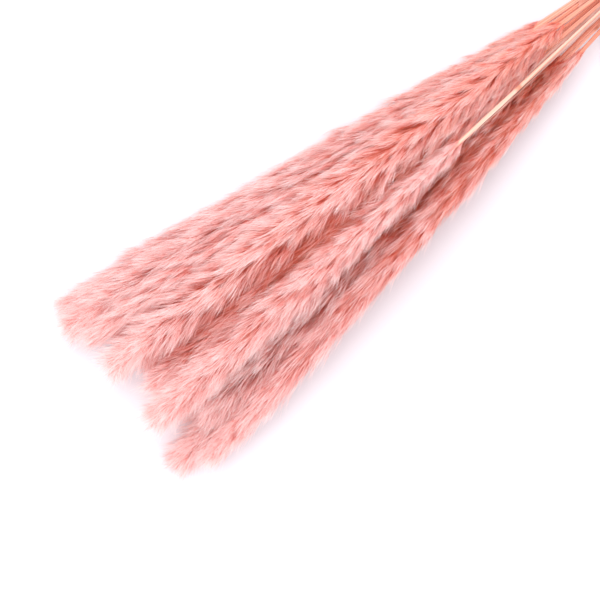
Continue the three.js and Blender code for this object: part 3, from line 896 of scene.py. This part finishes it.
def shell_mesh(name, grid, wall, veins):
    """Closes a sheet of points, rows by columns, into a thin shell; grid holds outward normals."""
    points, normals = grid
    rows, columns = points.shape[:2]
    skins = [points + normals * wall / 2, points - normals * wall / 2]
    corners = np.concatenate([skin.reshape(-1, 3) for skin in skins])
    outer = np.arange(rows * columns).reshape(rows, columns)
    inner = outer + rows * columns
    faces = []
    for i in range(rows - 1):
        for j in range(columns - 1):
            faces.append((outer[i, j], outer[i, j + 1], outer[i + 1, j + 1], outer[i + 1, j]))
            faces.append((inner[i, j], inner[i + 1, j], inner[i + 1, j + 1], inner[i, j + 1]))
    edge = [(0, j) for j in range(columns)]
    edge += [(i, columns - 1) for i in range(1, rows)]
    edge += [(rows - 1, j) for j in range(columns - 2, -1, -1)]
    edge += [(i, 0) for i in range(rows - 2, 0, -1)]
    for here, there in zip(edge, edge[1:] + edge[:1]):
        faces.append((outer[there], outer[here], inner[here], inner[there]))
    mesh = bpy.data.meshes.new(name)
    mesh.from_pydata(corners.tolist(), [], [tuple(int(v) for v in face) for face in faces])
    both = np.concatenate([veins.reshape(-1, 3)] * 2).astype(np.float32)
    mesh.attributes.new("vein", "FLOAT_VECTOR", "POINT").data.foreach_set("vector", both.ravel())
    mesh.shade_smooth()
    mesh.validate()
    return mesh


def roll_sheath(label):
    """Rolls one sheath round its stem, open at its slit and torn at its far end if it is long."""
    rng = np.random.default_rng(int(label))
    rows = rolled_rows(label)
    x, y, z, middle, half, inner = rows.T
    share = np.linspace(-1, 1, LEAF_COLUMNS)
    lift = LIFT.get(label, USUAL_LIFT)
    knots = np.linspace(x[0], x[-1], TWIST_KNOTS)
    slow = np.interp(x, knots, rng.uniform(-TWIST, TWIST, TWIST_KNOTS))
    angle = (middle + slow)[:, None] + half[:, None] * share
    pleats = PLEAT * np.cos(share * math.pi * PLEATS)
    raised = lift * np.abs(share) ** 4 * (half / half.max())[:, None]
    radius = inner[:, None] + LEAF_WALL / 2 + LEAF_GAP + PLEAT + pleats + raised
    out = np.stack([np.zeros_like(angle), np.cos(angle), np.sin(angle)], axis=-1)
    torn = np.clip(1 - (x[-1] - x) / TORN_LENGTH, 0, 1) * (x[-1] - x.min() > 2 * TORN_LENGTH)
    notch = np.interp(share, np.linspace(-1, 1, NOTCHES), rng.uniform(0, 1, NOTCHES)) * TORN_DEPTH
    along = x[:, None] - torn[:, None] * notch
    centre = np.stack([along, np.interp(along, x, y), np.interp(along, x, z)], axis=-1)
    points = centre + out * radius[..., None]
    dyed = np.full_like(along, DYED.get(label, 0.9))
    veins = np.stack([along, share * half[:, None] * inner[:, None], dyed], axis=-1)
    mesh = shell_mesh(f"sheath {label}", (points, out), LEAF_WALL, veins)
    mesh.materials.append(LEAF)
    piece_from(f"dry_leaf_{label}", mesh, "sheath", f"leaf_sheath_{label}")
    return len(mesh.polygons)


SHEATHED = sorted(name[-2:] for name in nodes if name.startswith("leaf_sheath_"))
counts = [roll_sheath(label) for label in SHEATHED]
print("leaf sheaths:", len(counts), "faces in all:", sum(counts))

# %% [markdown]
# ## The band
# The stems are held by an ordinary rubber band wound round them a few times. The frame's band is a
# flat ring, so its inner outline gives the way round. The strand runs that way once for each turn,
# a little further along the stems every time, and comes back over the top to close the loop.
# Natural rubber is matt and slightly see-through, which a little subsurface scattering gives.

# %% Rubber material and band tree
STRAND = 1.5 * MM
STRAND_THICK = 1.2 * MM


def make_rubber():
    material, tree = new_material("natural rubber")
    place = add(tree, "ShaderNodeTexCoord").outputs["Object"]
    dust = add(tree, "ShaderNodeTexNoise", {"Vector": place, "Scale": 900.0, "Detail": 3.0})
    stops = [(0.3, "#C9975F"), (0.7, "#DDB27E")]
    colour = add(tree, "ShaderNodeValToRGB", {"Fac": dust}, stops).outputs["Color"]
    relief = {"Height": dust, "Strength": 0.15, "Distance": FINE_RELIEF}
    relief = add(tree, "ShaderNodeBump", relief)
    facts = {"Base Color": colour, "Roughness": 0.62, "Normal": relief}
    facts |= {"Subsurface Weight": 0.15, "Subsurface Scale": MM}
    body = add(tree, "ShaderNodeBsdfPrincipled", facts)
    add(tree, "ShaderNodeOutputMaterial", {"Surface": body})
    return material


def make_band_tree():
    tree, given = new_tree(
        "band",
        {
            "Strand width": ("Float", STRAND),
            "Strand thickness": ("Float", STRAND_THICK),
            "Rounding": ("Float", 0.25 * MM),
            "Material": ("Material", None),
        },
    )
    curve = add(tree, "GeometryNodeMeshToCurve", {"Mesh": given["Geometry"]})
    sizes = {"Width": given["Strand width"], "Height": given["Strand thickness"]}
    section = add(tree, "GeometryNodeCurvePrimitiveQuadrilateral", sizes)
    bevel = {"Curve": section, "Radius": given["Rounding"], "Count": 2}
    section = add(tree, "GeometryNodeFilletCurve", bevel, mode="POLY")
    sweep = {"Curve": curve, "Profile Curve": section}
    strand = add(tree, "GeometryNodeCurveToMesh", sweep)
    strand = add(tree, "GeometryNodeSetShadeSmooth", {"Geometry": strand, "Shade Smooth": True})
    finish_tree(tree, strand, given["Material"])
    return tree


RUBBER = make_rubber()
BAND_TREE = make_band_tree()
print("rubber:", len(RUBBER.node_tree.nodes), "nodes, band tree:", len(BAND_TREE.nodes), "nodes")

# %% Band
TURNS = 4
POINTS_A_TURN = 72
CROSSING_TURN = 0.45
CROSSING_ANGLE = math.radians(172)
STRAND_LIES = 0.6
STRAND_OVER = 1.05


def inner_outline(node, count):
    """The way round inside a ring that lies in upright planes: its middle, and radius by angle."""
    ring = rings_of(node)[0][1]
    middle = (ring.min(0) + ring.max(0)) / 2
    offset = ring - middle
    angles, reach = np.arctan2(offset[:, 2], offset[:, 1]), np.hypot(offset[:, 1], offset[:, 2])
    inner = reach < np.median(reach)
    order = np.argsort(angles[inner])
    at = np.linspace(-math.pi, math.pi, count, endpoint=False)
    return middle, np.interp(at, angles[inner][order], reach[inner][order], period=2 * math.pi)


def wind_band():
    """Winds the strand along the band, and brings it back over its turns to where it began."""
    low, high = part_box("elastic_band")
    middle, outline = inner_outline("elastic_band", POINTS_A_TURN)
    turn = np.arange(0, TURNS, 1 / POINTS_A_TURN)
    span = TURNS - CROSSING_TURN
    forward = turn < span
    back = np.clip((turn - span) / CROSSING_TURN, 0, 1)
    ease = back * back * (3 - 2 * back)
    across = np.where(forward, turn / span, 1 - ease)
    x = low.x + STRAND / 2 + (high.x - low.x - STRAND) * across
    over = np.sqrt(np.sin(math.pi * back)) * STRAND_THICK * STRAND_OVER
    angle = 2 * math.pi * turn + CROSSING_ANGLE
    steps = np.round(angle / (2 * math.pi) * POINTS_A_TURN + POINTS_A_TURN / 2).astype(int)
    radius = outline[steps % POINTS_A_TURN] + STRAND_THICK * STRAND_LIES
    radius = radius + np.where(forward, 0, over)
    y, z = middle[1] + radius * np.cos(angle), middle[2] + radius * np.sin(angle)
    line = line_mesh("strand", np.column_stack([x, y, z]), closed=True)
    mesh = run_tree(BAND_TREE, line, {"Material": RUBBER})
    piece_from("rubber_band", mesh, "band", "elastic_band")
    return len(mesh.polygons)


print("band: faces", wind_band())

# %% [markdown]
# ## Camera, light and floor
# The bundle is seen straight from above, turned so that it lies across a square picture from one
# corner, with the plumes spread towards the other. It lies on off-white paper. One large soft light
# hangs nearly overhead on the far side, so each plume is round but none throws a hard shadow, and
# a white surrounding fills the gaps as a light tent would.

# %% Camera
MIDDLE = (0.1435, 0.0297)
VIEW_TURN = math.radians(140.5)
LENS = 85.0
SENSOR = 36.0
FRAME_WIDTH = 0.45

camera_data = bpy.data.cameras.new("camera")
camera_data.lens = LENS
camera_data.sensor_width = SENSOR
camera = bpy.data.objects.new("camera", camera_data)
camera.location = (*MIDDLE, FRAME_WIDTH * LENS / SENSOR)
camera.rotation_euler = (0.0, 0.0, VIEW_TURN)
bpy.context.scene.collection.objects.link(camera)
bpy.context.scene.camera = camera
print("camera height:", round(camera.location.z, 3), "m")

# %% Floor
FLOOR_REACH = 4.0
corners = [(x * FLOOR_REACH, y * FLOOR_REACH, 0) for x, y in ((-1, -1), (1, -1), (1, 1), (-1, 1))]
floor_mesh = bpy.data.meshes.new("floor")
floor_mesh.from_pydata(corners, [], [(0, 1, 2, 3)])
floor = bpy.data.objects.new("floor", floor_mesh)
bpy.context.scene.collection.objects.link(floor)
paper, tree = new_material("off-white paper")
sheet = {"Base Color": linear("#DED9DF"), "Roughness": 0.9}
sheet = add(tree, "ShaderNodeBsdfPrincipled", sheet)
add(tree, "ShaderNodeOutputMaterial", {"Surface": sheet})
floor_mesh.materials.append(paper)
floor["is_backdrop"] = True
print("floor: off-white paper,", 2 * FLOOR_REACH, "m wide")

# %% Light
KEY_PLACE = (0.15, -0.6, 1.9)
KEY_SIZE = 1.6
KEY_POWER = 18.0
AMBIENT = 1.48

key_data = bpy.data.lights.new("key", "AREA")
key_data.size = KEY_SIZE
key_data.energy = KEY_POWER
key = bpy.data.objects.new("key", key_data)
key.location = KEY_PLACE
key.rotation_euler = (-key.location).to_track_quat("-Z", "Y").to_euler()
bpy.context.scene.collection.objects.link(key)

world = bpy.data.worlds.new("world")
world.use_nodes = True
world.node_tree.nodes["Background"].inputs["Color"].default_value = (1.0, 1.0, 1.0, 1.0)
world.node_tree.nodes["Background"].inputs["Strength"].default_value = AMBIENT
bpy.context.scene.world = world
bpy.context.scene.view_settings.view_transform = "Standard"
print("light:", KEY_POWER, "W key and", AMBIENT, "surrounding")

# %% Sizes and the end
spans = [high - low for low, high in zip(*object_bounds())]
print("finished size in mm:", [round(span / MM) for span in spans])
